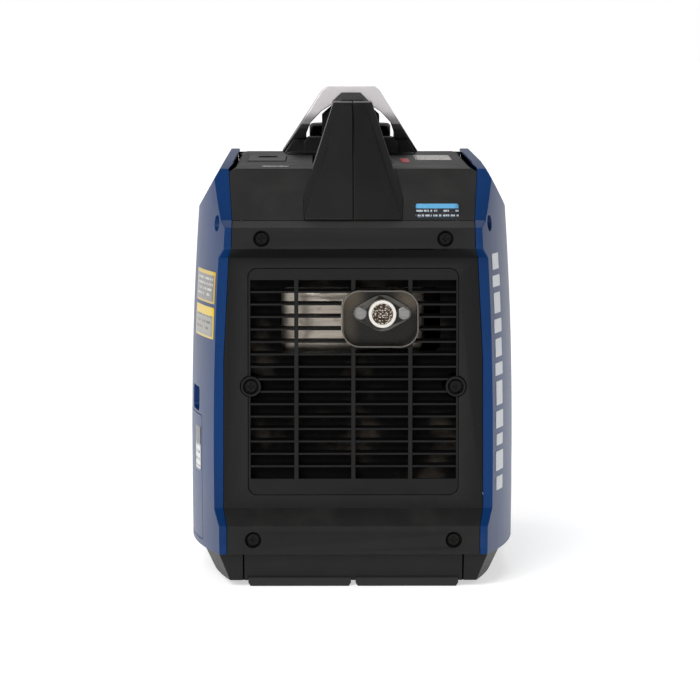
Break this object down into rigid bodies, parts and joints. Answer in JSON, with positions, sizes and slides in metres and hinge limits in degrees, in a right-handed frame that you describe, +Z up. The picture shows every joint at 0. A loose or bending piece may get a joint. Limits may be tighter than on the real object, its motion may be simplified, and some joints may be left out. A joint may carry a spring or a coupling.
{
  "type": "portable inverter generator",
  "caption": "Suitcase-shaped portable inverter generator with a louvred exhaust end, forked carrying handle, recoil starter, service door and control panel.",
  "frame": {"origin": "on the ground under the middle of the body (bounding box bottom centre)", "axes": "+Z up, +Y towards the control panel, -Y towards the exhaust outlet, +X across the body with the recoil starter on the -X side"},
  "size_m": [0.2901, 0.505, 0.432],
  "materials": {
    "ac_outlets": "satin",
    "air_filter_box": "satin",
    "air_filter_element": "foam",
    "alternator_stator": "laminated",
    "base_tray": "fine textured",
    "cap_gasket": "matt",
    "carburettor": "cast",
    "case_screws": "brushed",
    "control_panel": "satin",
    "cooling_fan": "satin",
    "crankcase": "cast",
    "crankcase_cover": "cast",
    "crankshaft": "brushed",
    "cylinder_head": "cast",
    "door_latch": "satin",
    "eco_switch": "satin",
    "engine_dial": "satin",
    "engine_mounts": "matt",
    "exhaust_baffle": "brushed",
    "exhaust_dish": "dark bronze",
    "exhaust_grille": "fine textured",
    "fan_shroud": "satin",
    "flywheel_rotor": "brushed",
    "front_cover": "fine textured",
    "fuel_cap": "satin",
    "fuel_tank": "satin",
    "grip_pad": "matt",
    "ground_terminal": "brushed",
    "handle_arch": "satin silver",
    "handle_half_left": "fine textured",
    "handle_half_right": "fine textured",
    "indicator_lenses": "tinted",
    "intake_hose": "matt",
    "inverter_module": "cast",
    "main_bearings": "brushed",
    "muffler": "brushed",
    "oil_dipstick": "satin",
    "outlet_bolts": "brushed",
    "outlet_flange": "brushed",
    "plug_access_cover": "fine textured",
    "plug_boot": "matt",
    "rear_cover": "fine textured",
    "recoil_bezel": "satin",
    "recoil_grip": "satin",
    "recoil_housing": "satin",
    "recoil_pulley": "satin",
    "recoil_rope": "braided",
    "reset_button": "satin",
    "rocker_cover": "satin",
    "rope_coil": "braided",
    "rubber_feet": "matt",
    "service_door": "satin",
    "side_cover_left": "satin",
    "side_cover_right": "satin",
    "spark_arrestor": "heat-stained mesh",
    "spark_plug": "brushed",
    "stator_coils": "enamelled copper",
    "switch_bezels": "satin",
    "top_cover": "fine textured",
    "vent_knob": "satin"
  },
  "bodies": {
    "housing": {"ac_outlets": "ac_outlets", "air_filter_box": "air_filter_box", "air_filter_element": "air_filter_element", "alternator_stator": "alternator_stator", "base_tray": "base_tray", "carburettor": "carburettor", "case_screws": "case_screws", "control_panel": "control_panel", "crankcase": "crankcase", "crankcase_cover": "crankcase_cover", "cylinder_head": "cylinder_head", "engine_mounts": "engine_mounts", "exhaust_baffle": "exhaust_baffle", "exhaust_dish": "exhaust_dish", "exhaust_grille": "exhaust_grille", "fan_shroud": "fan_shroud", "front_cover": "front_cover", "fuel_tank": "fuel_tank", "grip_pad": "grip_pad", "ground_terminal": "ground_terminal", "handle_arch": "handle_arch", "handle_half_left": "handle_half_left", "handle_half_right": "handle_half_right", "indicator_lenses": "indicator_lenses", "intake_hose": "intake_hose", "inverter_module": "inverter_module", "main_bearings": "main_bearings", "muffler": "muffler", "outlet_bolts": "outlet_bolts", "outlet_flange": "outlet_flange", "plug_boot": "plug_boot", "rear_cover": "rear_cover", "recoil_bezel": "recoil_bezel", "recoil_housing": "recoil_housing", "rocker_cover": "rocker_cover", "rubber_feet": "rubber_feet", "side_cover_left": "side_cover_left", "side_cover_right": "side_cover_right", "spark_arrestor": "spark_arrestor", "spark_plug": "spark_plug", "stator_coils": "stator_coils", "switch_bezels": "switch_bezels", "top_cover": "top_cover"},
    "crank": {"crankshaft": "crankshaft", "flywheel_rotor": "flywheel_rotor", "cooling_fan": "cooling_fan"},
    "pulley": {"recoil_pulley": "recoil_pulley", "rope_coil": "rope_coil"},
    "starter_handle": {"recoil_grip": "recoil_grip", "recoil_rope": "recoil_rope"},
    "cap_core": {"cap_gasket": "cap_gasket"},
    "cap": {"fuel_cap": "fuel_cap"},
    "vent": {"vent_knob": "vent_knob"},
    "dial": {"engine_dial": "engine_dial"},
    "eco_rocker": {"eco_switch": "eco_switch"},
    "ac_reset": {"reset_button": "reset_button"},
    "door": {"service_door": "service_door"},
    "latch": {"door_latch": "door_latch"},
    "plug_cover": {"plug_access_cover": "plug_access_cover"},
    "dipstick": {"oil_dipstick": "oil_dipstick"}
  },
  "joints": [
    {"name": "crank_spin", "type": "hinge", "parent": "housing", "child": "crank", "pos_m": [0, 0, 0.11], "axis": [0, 1, 0], "continuous": true},
    {"name": "recoil_pull", "type": "slide", "parent": "housing", "child": "starter_handle", "axis": [-1, 0, 0], "range_m": [0, 0.45], "stiffness_N_per_m": 12, "springref_m": -0.5},
    {"name": "pulley_spin", "type": "hinge", "parent": "housing", "child": "pulley", "pos_m": [0, 0.129, 0.11], "axis": [0, 1, 0], "range_deg": [-810, 0]},
    {"name": "cap_lift", "type": "slide", "parent": "housing", "child": "cap_core", "axis": [0, 0, 1], "range_m": [0, 0.06]},
    {"name": "cap_turn", "type": "hinge", "parent": "cap_core", "child": "cap", "pos_m": [0, 0.148, 0.38], "axis": [0, 0, 1], "range_deg": [0, 90]},
    {"name": "vent_turn", "type": "hinge", "parent": "cap", "child": "vent", "pos_m": [0, 0.148, 0.394], "axis": [0, 0, 1], "range_deg": [0, 90]},
    {"name": "dial_turn", "type": "hinge", "parent": "housing", "child": "dial", "pos_m": [-0.054, 0.24, 0.236], "axis": [0, 1, 0], "range_deg": [0, 90]},
    {"name": "eco_rock", "type": "hinge", "parent": "housing", "child": "eco_rocker", "pos_m": [-0.006, 0.2365, 0.244], "axis": [1, 0, 0], "range_deg": [-7, 7]},
    {"name": "reset_press", "type": "slide", "parent": "housing", "child": "ac_reset", "axis": [0, -1, 0], "range_m": [0, 0.003], "stiffness_N_per_m": 400, "springref_m": -0.002},
    {"name": "door_swing", "type": "hinge", "parent": "housing", "child": "door", "pos_m": [-0.14285, 0, 0.0376], "axis": [0, -1, 0], "range_deg": [0, 80]},
    {"name": "latch_turn", "type": "hinge", "parent": "door", "child": "latch", "pos_m": [-0.14, -0.11, 0.132], "axis": [1, 0, 0], "range_deg": [0, 90]},
    {"name": "plug_cover_lift", "type": "slide", "parent": "housing", "child": "plug_cover", "axis": [0, 0, 1], "range_m": [0, 0.05]},
    {"name": "dipstick_turn", "type": "hinge", "parent": "housing", "child": "dipstick", "pos_m": [-0.09, -0.088, 0.076], "axis": [1, 0, 0], "range_deg": [0, 720]}
  ],
  "couplings": [
    {"joint": "pulley_spin", "follows": "recoil_pull", "rad_per_m": -31.056}
  ]
}
